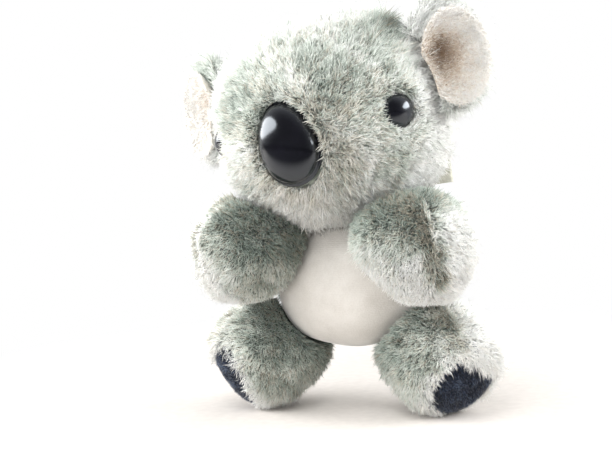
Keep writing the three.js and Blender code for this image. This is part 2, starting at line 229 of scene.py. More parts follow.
def mesh_piece(name, points, faces, look, replaced=True, uv=None, tone=None):
    """A new mesh object from points in the toy's own millimetres and faces, quads and then
    triangles. Its look is a material, a slot, which is not used, and the body that it rides on.
    A replaced piece stands for the CAD node of its name. uv is its strands' map, and tone its
    under-pile's tone at each point."""
    quads, tris = faces
    mesh = bpy.data.meshes.new(name)
    corners = np.concatenate([quads.ravel(), tris.ravel()]).astype(np.int32)
    sizes = np.concatenate([np.full(len(quads), 4), np.full(len(tris), 3)])
    mesh.vertices.add(len(points))
    mesh.vertices.foreach_set("co", ((points + to_frame) * mm).astype(np.float32).ravel())
    mesh.loops.add(len(corners))
    mesh.loops.foreach_set("vertex_index", corners)
    mesh.polygons.add(len(sizes))
    mesh.polygons.foreach_set("loop_start", (np.cumsum(sizes) - sizes).astype(np.int32))
    mesh.update(calc_edges=True)
    mesh.shade_smooth()
    if uv is not None:
        layer = mesh.uv_layers.new(name="OFBake")
        layer.data.foreach_set("uv", uv[corners].astype(np.float32).ravel())
    if tone is not None:
        layer = mesh.attributes.new("tone", "FLOAT", "POINT")
        layer.data.foreach_set("value", np.clip(tone, 0, 1).astype(np.float32))
    piece = bpy.data.objects.new(name, mesh)
    bpy.context.scene.collection.objects.link(piece)
    material, slot, body = look
    mesh.materials.append(material)
    if replaced:
        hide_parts(name)
    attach(piece, body)


def math_method(operation, reflected=False):
    """A method that puts a value through a Math node, as its second input where reflected."""

    def method(self, *others):
        values = [*others, self] if reflected else [self, *others]
        return self.finish.node("ShaderNodeMath", {"operation": operation}, dict(enumerate(values)))

    return method


class Value:
    """A number or colour on the way to a shader. Python sums on it add Math nodes."""

    def __init__(self, finish, socket):
        self.finish, self.socket = finish, socket

    __add__ = __radd__ = math_method("ADD")
    __mul__ = __rmul__ = math_method("MULTIPLY")
    __sub__, __rsub__ = math_method("SUBTRACT"), math_method("SUBTRACT", reflected=True)
    sine = math_method("SINE")


def colour_of(red, green, blue):
    """A colour read off a screen, 0 to 255, as the linear colour that a shader takes."""
    shares = np.array([red, green, blue]) / 255
    linear = np.where(shares <= 0.04045, shares / 12.92, ((shares + 0.055) / 1.055) ** 2.4)
    return (*linear.tolist(), 1.0)


class Finish:
    """The nodes of a material, or of the world. Its constants go on the main shader's own
    sockets, and node() adds any other node. Colours are given as they are read off a screen."""

    def __init__(self, name, constants, kind=bpy.data.materials, shader="Principled BSDF"):
        self.material = kind.new(name)
        self.material.use_nodes = True
        self.tree = self.material.node_tree
        self.shader = self.tree.nodes[shader]
        for socket, value in constants.items():
            self.shader.inputs[socket].default_value = value

    def node(self, kind, settings=None, inputs=None, output=0):
        made = self.tree.nodes.new(kind)
        for key, value in (settings or {}).items():
            if key == "stops":
                ramp = made.color_ramp
                while len(ramp.elements) < len(value):
                    ramp.elements.new(1.0)
                for element, (place, colour) in zip(ramp.elements, value):
                    element.position, element.color = place, colour_of(*colour)
            else:
                setattr(made, key, value)
        for key, value in (inputs or {}).items():
            self.feed(made.inputs[key], value)
        return Value(self, made.outputs[output])

    def feed(self, socket, value):
        if isinstance(value, Value):
            self.tree.links.new(value.socket, socket)
        else:
            socket.default_value = value

    def place(self):
        """The piece's own coordinates, in metres."""
        return self.node("ShaderNodeTexCoord", output="Object")

    def part(self, vector, axis):
        """One part of a vector: 0 for x, 1 for y and 2 for z."""
        return self.node("ShaderNodeSeparateXYZ", {}, {0: vector}, axis)

    def noise(self, size, detail=3.0, roughness=0.5):
        """Noise between 0 and 1, whose lumps are about size millimetres across."""
        return self.node("ShaderNodeTexNoise", {}, {
            "Vector": self.place(), "Scale": 1 / (size * mm), "Detail": detail,
            "Roughness": roughness,
        })

    def step(self, value, low, high, first=0.0, last=1.0):
        """A smooth step from first at low to last at high."""
        settings = {"interpolation_type": "SMOOTHSTEP"}
        inputs = {0: value, 1: low, 2: high, 3: first, 4: last}
        return self.node("ShaderNodeMapRange", settings, inputs)

    def mixed(self, share, first, second):
        """A mix of two colours by a share."""
        inputs = {0: share, 6: first, 7: second}
        return self.node("ShaderNodeMix", {"data_type": "RGBA"}, inputs, output=2)

    def ramp(self, value, *stops):
        """Colours at stops, each a place and a colour, with straight mixes between them."""
        return self.node("ShaderNodeValToRGB", {"stops": stops}, {"Fac": value})

    def coloured(self, colour, *stops):
        """Feeds the shader's colour, or a ramp of colours over a value."""
        colour = self.ramp(colour, *stops) if stops else colour
        self.feed(self.shader.inputs["Base Color"], colour)

    def bumped(self, height, depth):
        """Feeds the shader's normal with a relief of depth millimetres."""
        inputs = {"Height": height, "Distance": depth * mm, "Strength": 1.0}
        self.feed(self.shader.inputs["Normal"], self.node("ShaderNodeBump", {}, inputs))


# Near-white tangled fibres. The grey in the hollows between them is painted shade, on the same
# noise as the relief.
wadding = Finish("wadding", {"Roughness": 1.0, "Specular IOR Level": 0.1})
tangle_and_hollow_shade = wadding.noise(2.2, 6.0, 0.7)
wadding.coloured(tangle_and_hollow_shade, (0.3, (196, 194, 188)), (0.7, (248, 246, 240)))
wadding.bumped(tangle_and_hollow_shade, 0.6)

torso_form = stuffed_form(
    middle=[0, 0, 40.5], turn=upright, radii=[22.5, 19, 21], powers=(2.2, 2.0), taper=0.12,
)
head_roll, head_yaw = math.radians(-6.5), math.radians(-5.5)
roll_turn = np.array([
    [math.cos(head_roll), 0, math.sin(head_roll)], [0, 1, 0],
    [-math.sin(head_roll), 0, math.cos(head_roll)],
])
yaw_turn = np.array([
    [math.cos(head_yaw), -math.sin(head_yaw), 0], [math.sin(head_yaw), math.cos(head_yaw), 0],
    [0, 0, 1],
])
head_turn = yaw_turn @ roll_turn
head_middle = np.array([-2.5, -6.0, 88.0])
muzzle_swell = ([0, -1, -0.3], 2.2, 28)
cheek_swells = [([side * 0.75, -0.5, -0.5], 1.2, 30) for side in sides.values()]
head_form = stuffed_form(
    head_middle, head_turn, radii=[37.2, 35, 32], powers=(2.15, 2.15),
    swells=[muzzle_swell, *cheek_swells],
)
neck_line, neck_angles = head_middle[:2], np.linspace(-25, 25, 5)
side_seam_point, side_seam_lean = np.array([0, -4, 40.5]), math.radians(32)
side_seam_normal = np.array([0, math.cos(side_seam_lean), math.sin(side_seam_lean)])


def torso_block(grow):
    """The torso's outside: pile behind the side seam and velour in front of it."""

    def share(points):
        behind = (points - side_seam_point) @ side_seam_normal > -grow
        plush = share_of_form(torso_form, pile + grow, points)
        smooth = share_of_form(torso_form, velour_pile + grow, points)
        return np.where(behind, np.minimum(plush, smooth), smooth)

    return share


def head_block(grow):
    """The head's outside, grown, as a share that is under 1 in it."""
    return lambda points: share_of_form(head_form, grow, points)


def at_rest_and_turned(block, spare, line, angles):
    """A neighbour as a piece meets it, at rest and through its turns about an upright line."""
    return [block(gap + spare), swept(block(swing_gap + spare), line, angles)]


def turning_head(spare):
    """The head as the pieces below it meet it, at rest and turned on the neck."""
    return at_rest_and_turned(head_block, spare, neck_line, neck_angles)


def limb_forms(middle, out, dip, radius, length, powers, taper):
    """A pair of sacks, each along an axis that points forward, out to its own side and down."""
    forms = {}
    for name, side in sides.items():
        axis = way_at(side * out, -dip)
        form = stuffed_form(
            [side * middle[0], *middle[1:]], turn_to(axis), [radius, radius, length], powers, taper,
        )
        forms[name] = {**form, "axis": axis, "side": side}
    return forms


arm_forms = limb_forms(
    (25.7, -21, 50.2), out=38, dip=16, radius=17.6, length=18.5, powers=(2.1, 2.2), taper=-0.04,
)
leg_forms = limb_forms(
    (26, -5.5, 18), out=54, dip=31, radius=17.2, length=19.5, powers=(2.1, 2.6), taper=-0.05,
)
limb_seam_height, floor_height = 33.8, -to_frame[2]
shoulder, shoulder_swing, hip, hip_swing = (15, -8), (-5, 30), (13, 0), (-8, 20)


def level_block(height, above):
    """What lies above, or below, a level plane, as a share that is under 1 there."""
    way = 1 if above else -1
    return lambda points: 1 + way * (height - points[:, 2])


def arm_neighbours(side, spare):
    """What an arm is pressed against or swings past: torso, head and the level of the legs."""
    line, angles = (side * shoulder[0], shoulder[1]), -side * np.linspace(*shoulder_swing, 4)
    head = head_block(swing_gap + spare)
    both_at_an_end = [
        swept(swept(head, neck_line, [neck_angles[end]]), line, [-side * shoulder_swing[end]])
        for end in (0, -1)
    ]
    return [
        *at_rest_and_turned(torso_block, spare, line, angles), *turning_head(spare),
        swept(head, line, angles), *both_at_an_end,
        level_block(limb_seam_height + gap / 2 + spare, False),
    ]


def leg_neighbours(side, spare):
    """What a leg is pressed against or swings past: the torso, the level of the arms, the floor."""
    line, angles = (side * hip[0], hip[1]), -side * np.linspace(*hip_swing, 4)
    return [
        *at_rest_and_turned(torso_block, spare, line, angles),
        level_block(limb_seam_height - gap / 2 - spare, True), level_block(floor_height, False),
    ]


wadding_grid = ball_grid(72, 48)


def stuffing_piece(body, form, shrink, neighbours, lump_size):
    """A stuffed form inside its cover, seated against what cuts it and a little lumpy."""
    name = f"{body}_stuffing"
    form = {**form, "radii": form["radii"] - shrink}
    points = seated(form_points(form, 0, wadding_grid[0]), form["middle"], neighbours)
    dent = 0.012 * (lumps(points, lump_size, len(name))[:, None] - 1)
    points = form["middle"] + (points - form["middle"]) * (1 + dent)
    mesh_piece(name, points, wadding_grid[1], (wadding.material, "stuffing", body))


cover, spare = pile + backing + gap, 1.2
stuffing_piece("torso", torso_form, backing + gap, turning_head(0), 14)
stuffing_piece("head", head_form, cover, [level_block(0, False)], 18)
for name, side in sides.items():
    stuffing_piece(f"{name}_arm", arm_forms[name], cover, arm_neighbours(side, spare), 9)
    stuffing_piece(f"{name}_leg", leg_forms[name], cover, leg_neighbours(side, spare), 9)

# Long-pile plush: a woven backing that carries a dense under-pile and longer pale-tipped strands.
# The torso's back and sides are the first piece of it; the head, ears, arms and legs follow.
under_pile, strand_floor_gap = 2.9, 0.03
down = np.array([0, 0, -1.0])


def under_finish(name, dark, middle, light):
    """The dense under-pile, seen in the gaps between the strands, in the colour that the mesh's
    tone gives: dark at 0, middle at a half and light at 1."""
    under = Finish(name, {"Roughness": 1.0, "Specular IOR Level": 0.1, "Sheen Weight": 0.2})
    tufts = under.noise(0.9, 4.0, 0.7)
    tone = under.node("ShaderNodeAttribute", {"attribute_name": "tone"}, output=2)
    colour = under.ramp(tone, (0.0, dark), (0.5, middle), (1.0, light))
    inputs = {0: colour, 3: 0.7 + tufts * 0.6}
    under.coloured(under.node("ShaderNodeVectorMath", {"operation": "SCALE"}, inputs))
    under.bumped(tufts, 0.6)
    return under.material


def strand_finish(name, sheen, coats):
    """Strands. On the map, U runs through the three cool coats from dark to pale in its first half
    and the three warm ones in its second, and V from root to tip. A coat is a root, body and tip
    colour."""
    strand = Finish(name, {
        "Roughness": 0.8, "Specular IOR Level": 0.2, "Sheen Weight": sheen, "Sheen Roughness": 0.4,
    })
    place = strand.node("ShaderNodeUVMap", {"uv_map": "OFBake"})
    across, along = strand.part(place, 0), strand.part(place, 1)
    places = [0.0, 0.25, 0.497, 0.503, 0.75, 1.0]
    root, body, tip = (
        strand.ramp(across, *((at, coat[part]) for at, coat in zip(places, coats)))
        for part in range(3)
    )
    # The darker root is partly painted shade deep in the pile and partly the pile's own darker base
    # under its pale tips.
    lower, upper = strand.step(along, 0.0, 0.45), strand.step(along, 0.4, 0.9)
    strand.coloured(strand.mixed(upper, strand.mixed(lower, root, body), tip))
    return strand.material


# The dark ends of these ramps also carry the painted shade that the tones put under the chin, in
# the creases, beside the ears and round the buttons.
under_plush = under_finish("under_pile", (92, 104, 95), (166, 174, 162), (230, 232, 227))
plush_strands = strand_finish("plush_strands", 0.3, [
    ((60, 71, 64), (106, 120, 110), (160, 171, 161)),
    ((134, 144, 133), (192, 200, 189), (232, 238, 230)),
    ((214, 217, 212), (244, 245, 242), (253, 254, 252)),
    ((74, 70, 58), (124, 119, 103), (176, 171, 156)),
    ((144, 138, 122), (200, 195, 179), (236, 233, 222)),
    ((222, 219, 209), (247, 245, 238), (254, 253, 249)),
])


def surface_spots(points, quads, tris, density, rng):
    """Roots spread evenly by area over a mesh, density of them a square millimetre, with the
    mesh's smooth normals there."""
    faces = np.vstack([quads[:, [0, 1, 2]], quads[:, [0, 2, 3]], tris])
    a, b, c = (points[faces[:, k]] for k in range(3))
    cross = np.cross(b - a, c - a)
    normals = np.stack([
        np.bincount(faces.ravel(), np.repeat(cross[:, k], 3), len(points)) for k in range(3)
    ], -1)
    reach = np.cumsum(np.linalg.norm(cross, axis=1) / 2)
    count = int(reach[-1] * density)
    pick = np.searchsorted(reach, rng.random(count) * reach[-1])
    u, v = rng.random((2, count, 1))
    u, v = np.where(u + v > 1, 1 - u, u), np.where(u + v > 1, 1 - v, v)
    weights = np.concatenate([1 - u - v, u, v], 1)[:, :, None]
    corner = faces[np.minimum(pick, len(faces) - 1)]
    return (points[corner] * weights).sum(1), unit((unit(normals)[corner] * weights).sum(1))


def chance_at(cells, seed):
    """Three repeatable random numbers for each lattice cell: the fractions of large sines."""
    keys = np.array([[12.9898, 78.233, 37.719], [39.3468, 11.135, 83.155], [73.156, 52.235, 9.151]])
    return np.modf(np.abs(np.sin(cells @ keys.T + seed) * 43758.5453))[0]


def tufts_of(roots, size, seed):
    """The nearest of a lattice's shaken points to each root, and three random numbers for it."""
    base = np.floor(roots / size)
    nearest, centres, cells = np.full(len(roots), np.inf), roots.copy(), base.copy()
    for offset in np.indices((3, 3, 3)).reshape(3, -1).T - 1:
        cell = base + offset
        centre = (cell + chance_at(cell, seed)) * size
        away = ((centre - roots) ** 2).sum(1)
        closer = away < nearest
        nearest = np.where(closer, away, nearest)
        centres[closer], cells[closer] = centre[closer], cell[closer]
    return centres, chance_at(cells, seed + 5.7)


def strand_lines(growth, style, rng, neighbours):
    """The line of each strand from its root, as offsets at its rows. It leaves the root at a lift
    above the skin and leans over along the flow; those of a tuft draw together and share a lean.
    One that would reach into a neighbour is shortened, or left out where its share is 0."""
    roots, normals, flow = growth["roots"], growth["normals"], growth["flow"]
    flow = unit(flow - (flow * normals).sum(1, keepdims=True) * normals)
    across = np.cross(normals, flow)
    centres, chance = tufts_of(roots, style["tuft"], style["seed"])
    count, rows, steps = len(roots), style["rows"], 6
    lean_spread, lean_range = 9, (4, 86)
    heading = np.radians(
        rng.normal(0, style["sway"], count) + style["tuft_sway"] * (2 * chance[:, 0] - 1)
        + style["drift"] * lumps(roots, 9, style["seed"] + 1)
    )
    curl = np.radians(rng.normal(0, style["curl"], count))
    lean = growth["stand"] + 10 * (2 * chance[:, 1] - 1)
    lift_root, lift_tip = (
        np.radians(np.clip(lift + lean + rng.normal(0, lean_spread, count), *lean_range))
        for lift in style["lift"]
    )
    length = style["length"] * growth["length"] * (0.88 + 0.24 * chance[:, 2])
    length = length * np.clip(rng.normal(1, 0.14, count), 0.55, 1.35)
    gather = centres - roots
    gather -= (gather * normals).sum(1, keepdims=True) * normals
    offsets, here = [], np.zeros((count, 3))
    for step in range(steps):
        at, done = (step + 0.5) / steps, (step + 1) / steps
        lift, turn = lift_root + (lift_tip - lift_root) * at, heading + curl * at
        level = np.cos(turn)[:, None] * flow + np.sin(turn)[:, None] * across
        way = np.cos(lift)[:, None] * level + np.sin(lift)[:, None] * normals
        here = here + way * (length / steps)[:, None]
        if (done * rows) % 1 < 1e-6:
            offsets.append(here + gather * style["pull"] * done**1.5)
    offsets, scale, shorter = np.array(offsets), np.zeros(count), (1.0, 0.8, 0.62, 0.45, 0.3)
    for share in shorter:
        left = np.flatnonzero(scale == 0)
        for neighbour in neighbours:
            for offset in offsets:
                left = left[neighbour(roots[left] + offset[left] * share) > 1]
        scale[left] = share
    return across, offsets * scale[:, None], scale


def strand_arrays(growth, style, rng, neighbours):
    """Strands as thin three-sided spindles, or cones where a style has one row, with the corners
    of each a nudge apart on the map. Returns points, quads, triangles and map places."""
    across, offsets, scale = strand_lines(growth, style, rng, neighbours)
    kept, rows = scale > 0, style["rows"]
    roots, normals, across = growth["roots"][kept], growth["normals"][kept], across[kept]
    count = len(roots)
    width = style["width"] * rng.uniform(0.75, 1.25, count) * np.clip(scale[kept] + 0.3, 0, 1)
    spin = rng.uniform(0, 2 * np.pi / 3, count)
    column = (growth["warm"][kept] + np.clip(growth["tone"][kept], 0.02, 0.98)) / 2
    lines = [np.zeros_like(roots), *offsets[:, kept]]
    points, places, nudge, tip_place = [], [], 0.0015, 0.998
    for index, line in enumerate(lines[:-1]):
        way = unit(lines[index + 1] - lines[max(index - 1, 0)])
        first = unit(np.cross(way, normals) + 1e-6 * across)
        second = np.cross(way, first)
        for corner in range(3):
            angle = spin + 2 * np.pi * corner / 3
            ring = np.cos(angle)[:, None] * first + np.sin(angle)[:, None] * second
            points.append(roots + line + ring * (width / 2)[:, None])
            beside = column + nudge * (corner - 1)
            places.append(np.stack([beside, np.full(count, index / rows)], -1))
    points.append(roots + lines[-1])
    places.append(np.stack([column, np.full(count, tip_place)], -1))
    stride, top = len(points), 3 * (rows - 1)
    start = (np.arange(count) * stride)[:, None]
    ring = np.array([[corner, (corner + 1) % 3] for corner in range(3)])
    quads = [
        start + 3 * row + np.array([a, b, b + 3, a + 3]) for row in range(rows - 1) for a, b in ring
    ]
    tris = [start + np.array([0, 2, 1])]
    tris += [start + np.array([top + a, top + b, stride - 1]) for a, b in ring]
    points = np.stack(points, 1).reshape(-1, 3)
    points[:, 2] = np.maximum(points[:, 2], floor_height + strand_floor_gap)
    quads = np.vstack([np.zeros((0, 4), int), *quads])
    return points, quads, np.vstack(tris), np.stack(places, 1).reshape(-1, 2)


def fur_pieces(names, skin, faces, styles, look, pattern, neighbours=(), split_of=None):
    """Grows strands of one or more styles on a skin and shares them among pieces of one look. The
    pattern gives, for roots and normals, the share kept, flow, tone, warmth, extra lift and
    length. split_of gives the order in which roots are shared out."""
    batches = [[] for _ in names]
    for style in styles:
        rng = np.random.default_rng(style["seed"] + style["rows"])
        roots, normals = surface_spots(skin, *faces, style["density"], rng)
        for neighbour in neighbours:
            clear = neighbour(roots + normals * 0.6) > 1
            roots, normals = roots[clear], normals[clear]
        growth = {"stand": np.zeros(len(roots)), "length": np.ones(len(roots))}
        growth.update(pattern(roots, normals, rng), roots=roots, normals=normals)
        kept = rng.random(len(roots)) < growth.pop("keep")
        growth = {key: values[kept] for key, values in growth.items()}
        roots = growth["roots"]
        order = np.zeros(len(roots)) if split_of is None else split_of(roots)
        share = np.argsort(np.argsort(order)) * len(names) // max(len(roots), 1)
        for index, batch in enumerate(batches):
            mine = {key: values[share == index] for key, values in growth.items()}
            batch.append(strand_arrays(mine, style, rng, neighbours))
    for name, batch in zip(names, batches):
        points, quads, tris, places = zip(*batch)
        starts = np.cumsum([0] + [len(some) for some in points])
        quads, tris = (
            np.vstack([faces + start for faces, start in zip(some, starts)])
            for some in (quads, tris)
        )
        mesh_piece(
            name, np.vstack(points), (quads, tris), look, replaced=False, uv=np.vstack(places),
        )


short_pile = {
    "density": 10.2, "length": 2.6, "width": 0.34, "lift": (66, 44), "sway": 40, "tuft_sway": 26,
    "drift": 18, "curl": 30, "tuft": 1.5, "pull": 0.2, "rows": 1, "seed": 11,
}
long_pile = {
    **short_pile, "density": 2.2, "length": 3.3, "width": 0.22, "lift": (66, 34), "rows": 2,
}


def plush_pile(seed, short=(), long=()):
    """The two lengths of strand, with a piece's own seed and changes."""
    return [{**short_pile, "seed": seed, **dict(short)}, {**long_pile, "seed": seed, **dict(long)}]


def coats_by_tone(tone, warmth, rng):
    """Each strand's own tone, near its place's, and whether it is one of a share of warm ones."""
    return {
        "tone": np.clip(tone + rng.normal(0, 0.13, len(tone)), 0, 1),
        "warm": (rng.random(len(tone)) < warmth).astype(float),
    }


torso_grid = ball_grid(96, 64)


def behind_seam(points):
    """How far behind the side seam each point lies. The seam bows up to the chin in front."""
    bow = 2.4 * between(points[:, 2], 47, 56) * between(-points[:, 1], 2, 8)
    return (points - side_seam_point) @ side_seam_normal - bow


def seam_block(behind, spare):
    """The far side of the side seam, as a share that is under 1 there."""
    way = 1 if behind else -1
    return lambda points: 1 + way * behind_seam(points) - spare


def torso_leaf(pile_height, lump, lump_size, seed, middle, behind, spare):
    """One leaf of the torso's cover: the whole form, a little lumpy, cut back to the side seam and
    to the head."""
    skin = form_points(torso_form, pile_height, torso_grid[0])
    skin += unit(skin - torso_form["middle"]) * (lump * lumps(skin, lump_size, seed)[:, None])
    return seated(skin, middle, [*turning_head(0), seam_block(behind, spare)])


torso_back = torso_leaf(
    under_pile, 0.35, 16, 3, torso_form["middle"] + [0, 4, 2], behind=True, spare=gap / 2,
)


def torso_tone(points):
    """Grey-green with paler patches, and pale below. The pale strip under the chin is painted light
    that lifts the shade in the gap there.
    """
    low = between(-points[:, 2], -34, -22)
    # Painted light: paler under the chin, where the head shades the gap above the belly.
    chin = 0.5 * between(points[:, 2], 50, 55) * between(-points[:, 1], 3, 7)
    return 0.5 + 0.25 * low + chin + 0.12 * lumps(points, 18, 5) + 0.08 * lumps(points, 4, 6)


def torso_pattern(roots, normals, rng):
    """Down over the back; nothing in front of the side seam."""
    behind = (behind_seam(roots) > 0.3) & ((roots[:, 1] > -8) | (roots[:, 2] < 50))
    flow = down + 0.25 * np.sign(roots[:, :1]) * np.array([1.0, 0, 0])
    return {"keep": 0.55 * behind, "flow": flow, **coats_by_tone(torso_tone(roots), 0.12, rng)}


mesh_piece(
    "torso_back", torso_back, torso_grid[1], (under_plush, "plush", "torso"),
    tone=torso_tone(torso_back),
)
fur_pieces(
    ["torso_fur"], torso_back, torso_grid[1], plush_pile(11), (plush_strands, "plush", "torso"),
    torso_pattern, [head_block(gap)],
)

# Belly panel: smooth white velour, cut as one leaf from the neck to under the crotch and sewn
# edge to edge with the plush. Its short pile lies flat and shows the knit's faint level courses.
velour = Finish("velour", {
    "Roughness": 0.85, "Specular IOR Level": 0.15, "Sheen Weight": 0.45, "Sheen Roughness": 0.45,
})
shading, nap = velour.noise(9, 3.0, 0.55), velour.noise(0.45, 3.0, 0.6)
velour_height, course_width, waviness = velour.part(velour.place(), 2), 0.55, 6.0
courses = (velour_height * (2 * math.pi / (course_width * mm)) + shading * waviness).sine()
velour.coloured(
    shading * 0.55 + nap * 0.35 + courses * 0.012,
    (0.25, (188, 183, 176)), (0.5, (205, 201, 195)), (0.75, (216, 213, 208)),
)
velour.bumped(nap * 0.7 + courses * 0.05, 0.16)

belly = torso_leaf(
    velour_pile, 0.3, 15, 8, np.array([0, -9, 37.0]), behind=False, spare=0.02 - gap / 2,
)
mesh_piece("belly_panel", belly, torso_grid[1], (velour.material, "velour", "torso"))

# Head: the largest stuffed form, two plush leaves sewn over the crown and a third for the muzzle.
# Its pile is parted round the clipped-on nose and eyes, and radiates from the nose.
def button(around, height, roll, **sizes):
    """A button's sizes, and its place in the head's own frame: on the backing at a turn from the
    face, its axis level and square to the cloth, turned about that axis by a roll."""
    radii, half_height = head_form["radii"] - pile, head_form["radii"][2]
    middle = way_at(around, 0) * radii * math.sqrt(1 - (height / half_height) ** 2)
    out = unit(middle / radii**2)
    middle += out * swell_heights(head_form, out[None])[0]
    middle[2] = height * radii[2] / half_height
    across, up = np.cross([0, 0, 1], out), np.array([0, 0, 1.0])
    c, s = math.cos(math.radians(roll)), math.sin(math.radians(roll))
    turn = np.stack([c * across + s * up, c * up - s * across, out], 1)
    return {"middle": middle, "turn": turn, **sizes}


nose_button = button(
    0, -8, 12, radius=12.4, dome=7.2, rim=0.9, thick=1.4, width=0.78, narrow=0.1, shank=(2.5, 9),
)
eye_sizes = {
    "radius": 5.3, "dome": 5.2, "rim": 0, "thick": 0.8, "width": 1, "narrow": 0,
    "shank": (1.5, 7.5),
}
eye_buttons = {name: button(side * 56, -2.4, 0, **eye_sizes) for name, side in sides.items()}
buttons = [nose_button, *eye_buttons.values()]
behind_cloth, far_off = 8, 9.0


def in_head(points):
    """Points of the toy's frame in the head's own frame."""
    return (points - head_middle) @ head_turn


def from_head(points):
    """Points of the head's own frame in the toy's frame."""
    return head_middle + points @ head_turn.T


def button_share(item, points):
    """How far from a button's axis a point lies, as a share of the button's outline there, and
    how far out from its base. Points are in the head's own frame; those well behind are far off."""
    local = (points - item["middle"]) @ item["turn"]
    high = np.clip(local[:, 1] / item["radius"], -1.2, 1.2)
    wide = item["width"] * (1 - item["narrow"] * high)
    share = np.hypot(local[:, 0] / wide, local[:, 1]) / item["radius"]
    return np.where(local[:, 2] > -behind_cloth, share, far_off), local[:, 2]


def button_block(item):
    """A button's dome as a neighbour of the strands, in the toy's frame."""

    def share(points):
        outline, out = button_share(item, in_head(points))
        return np.hypot(outline, np.maximum(out, 0) / item["dome"])

    return share


def spread_from(local, azimuth, rise, spread):
    """A bell of the angle from a direction of the head, given as way_at takes it."""
    ways = unit(local / head_form["radii"])
    return bell(angle_from(ways, way_at(azimuth, rise)), math.radians(spread))


head_grid = ball_grid(150, 100)
head_skin = form_points(head_form, under_pile - pile, head_grid[0])
by_left_ear = 2.5 * spread_from(in_head(head_skin), 66, 46, 17)
swell = 0.45 * lumps(head_skin, 22, 12) + by_left_ear
head_skin += unit(head_skin - head_middle) * swell[:, None]
head_local, sunk_to, sunk_depth = in_head(head_skin), 1.16, 0.35
for item in buttons:
    share, out = button_share(item, head_local)
    under_it = between(np.clip((sunk_to - share) / 0.18, 0, 1), 0, 1)
    sink = np.maximum(out + sunk_depth, 0) * under_it
    head_local = head_local - sink[:, None] * item["turn"][:, 2]
head_skin = from_head(head_local)

# Each patch of the head's tone, on both sides: azimuth, rise, spread and change. The darker
# patches in the hollow of each cheek (54, -30) and beside the ears (66, 42) are painted shade,
# and the paler one under the cheek by the arm (64, -48) is painted light that lifts the shade
# there.
head_tone_and_shade_patches = [
    (28, 20, 14, -0.2), (27, 4, 11, -0.14), (54, -30, 12, -0.12), (66, 42, 9, -1.2),
    (16, -22, 7, 0.02), (40, -14, 11, 0.12), (64, -48, 14, 0.5), (0, -56, 26, 0.26),
    (24, -16, 8, 0.12),
]


def head_tone(points):
    """Grey-green forehead, warm muzzle and chin, and darker by the nose. The pale crown and outer
    cheeks are painted light from above and from the sides, and the darker hollow of each cheek
    and the dark beside the ears are painted shade. Gives the tone and the warmth."""
    local = in_head(points)
    ways = unit(local / head_form["radii"])
    turn = np.degrees(np.arctan2(np.abs(ways[:, 0]), -ways[:, 1]))
    rise = np.degrees(np.arcsin(ways[:, 2]))
    tone = 0.52 + 0.1 * lumps(points, 13, 21) + 0.12 * lumps(points, 5.5, 23)
    tone = tone + 0.1 * lumps(points, 3.0, 22) + 0.12 * spread_from(local, -17, -2, 8)
    # Painted side light: paler towards the outer cheeks, starting sooner on the toy's right, where
    # the side light is stronger.
    tone = tone + 0.55 * between(turn + 16 * (ways[:, 0] < 0), 54, 74)
    # Painted top light: paler over the crown, short of the back of the head.
    tone = tone + 0.32 * between(rise, 30, 56) * between(-turn, -165, -105)
    for azimuth, height, spread, change in head_tone_and_shade_patches:
        for side in sides.values():
            tone = tone + change * spread_from(local, side * azimuth, height, spread)
    warmth = 0.18 + 0.6 * spread_from(local, 0, -36, 30) + 0.3 * spread_from(local, 20, -14, 16)
    warmth = warmth + 0.18 * lumps(points, 7, 24)
    return tone, np.clip(warmth, 0, 1) * (1 - 0.7 * between(turn, 55, 80))


skin_tone_and_button_shade = head_tone(head_skin)[0]
# Painted shadow: the under-pile darkens in a ring round each button, round the nose and the eyes.
for item in buttons:
    share, _ = button_share(item, in_head(head_skin))
    skin_tone_and_button_shade = skin_tone_and_button_shade - 0.8 * bell(np.maximum(share - 0.9, 0) * item["radius"], 1.5)
mesh_piece(
    "head_cover", head_skin, head_grid[1], (under_plush, "plush", "head"),
    tone=skin_tone_and_button_shade,
)


def head_pattern(roots, normals, rng):
    """Flow: away from the nose over the face, down over the back, parted at the eyes. The strands
    are longer by the ears and under the chin."""
    local = in_head(roots)
    keep = 1.0 - 0.4 * between(local[:, 1], 4, 20)
    behind = between(local[:, 1], -20, 20)[:, None]
    nose_front = from_head(nose_button["middle"])
    flow = unit(roots - nose_front) * (1 - 0.8 * behind) + 1.1 * behind * down
    clumps = lumps(roots, 2.6, 25)
    by_ear = sum(
        spread_from(local, side * azimuth, rise, 15)
        for side in sides.values() for azimuth, rise in ((64, 46), (80, 22))
    )
    longer = 0.7 * np.minimum(by_ear, 1) + 0.45 * spread_from(local, 0, -64, 22)
    stand, length = 8 * clumps, (1 + 0.2 * clumps) * (1 + longer)
    for item in buttons:
        share, _ = button_share(item, local)
        beside = np.exp(-np.maximum(share - 1, 0) * item["radius"] / 2.2)
        keep = np.where(share < 1.0, 0, keep)
        flow = flow + 1.2 * beside[:, None] * unit(roots - from_head(item["middle"]))
        stand, length = stand + 6 * beside, length * (1 - 0.25 * beside)
    coats = coats_by_tone(*head_tone(roots), rng)
    return {"keep": keep, "flow": flow, "stand": stand, "length": length, **coats}


fur_pieces(
    [f"head_fur_{index}" for index in range(1, 8)], head_skin, head_grid[1],
    plush_pile(31, {"density": 11.4}, {"length": 3.6}), (plush_strands, "plush", "head"),
    head_pattern, [button_block(item) for item in buttons],
    lambda roots: np.arctan2(in_head(roots)[:, 0], -in_head(roots)[:, 1]),
)

# Nose and eyes: glossy black plastic buttons, each pushed through the cloth on its own shank and
# held inside by a washer. The nose is an egg with a thin rim, and the eyes are plain domes.
glossy = Finish("glossy_black", {"Specular IOR Level": 0.8, "Specular Tint": (0.86, 0.93, 1, 1)})
cloud = glossy.noise(6, 3.0, 0.5)
glossy.coloured(cloud, (0.35, (7, 7, 11)), (0.7, (14, 13, 20)))
glossy.feed(glossy.shader.inputs["Roughness"], 0.11 + cloud * 0.1)


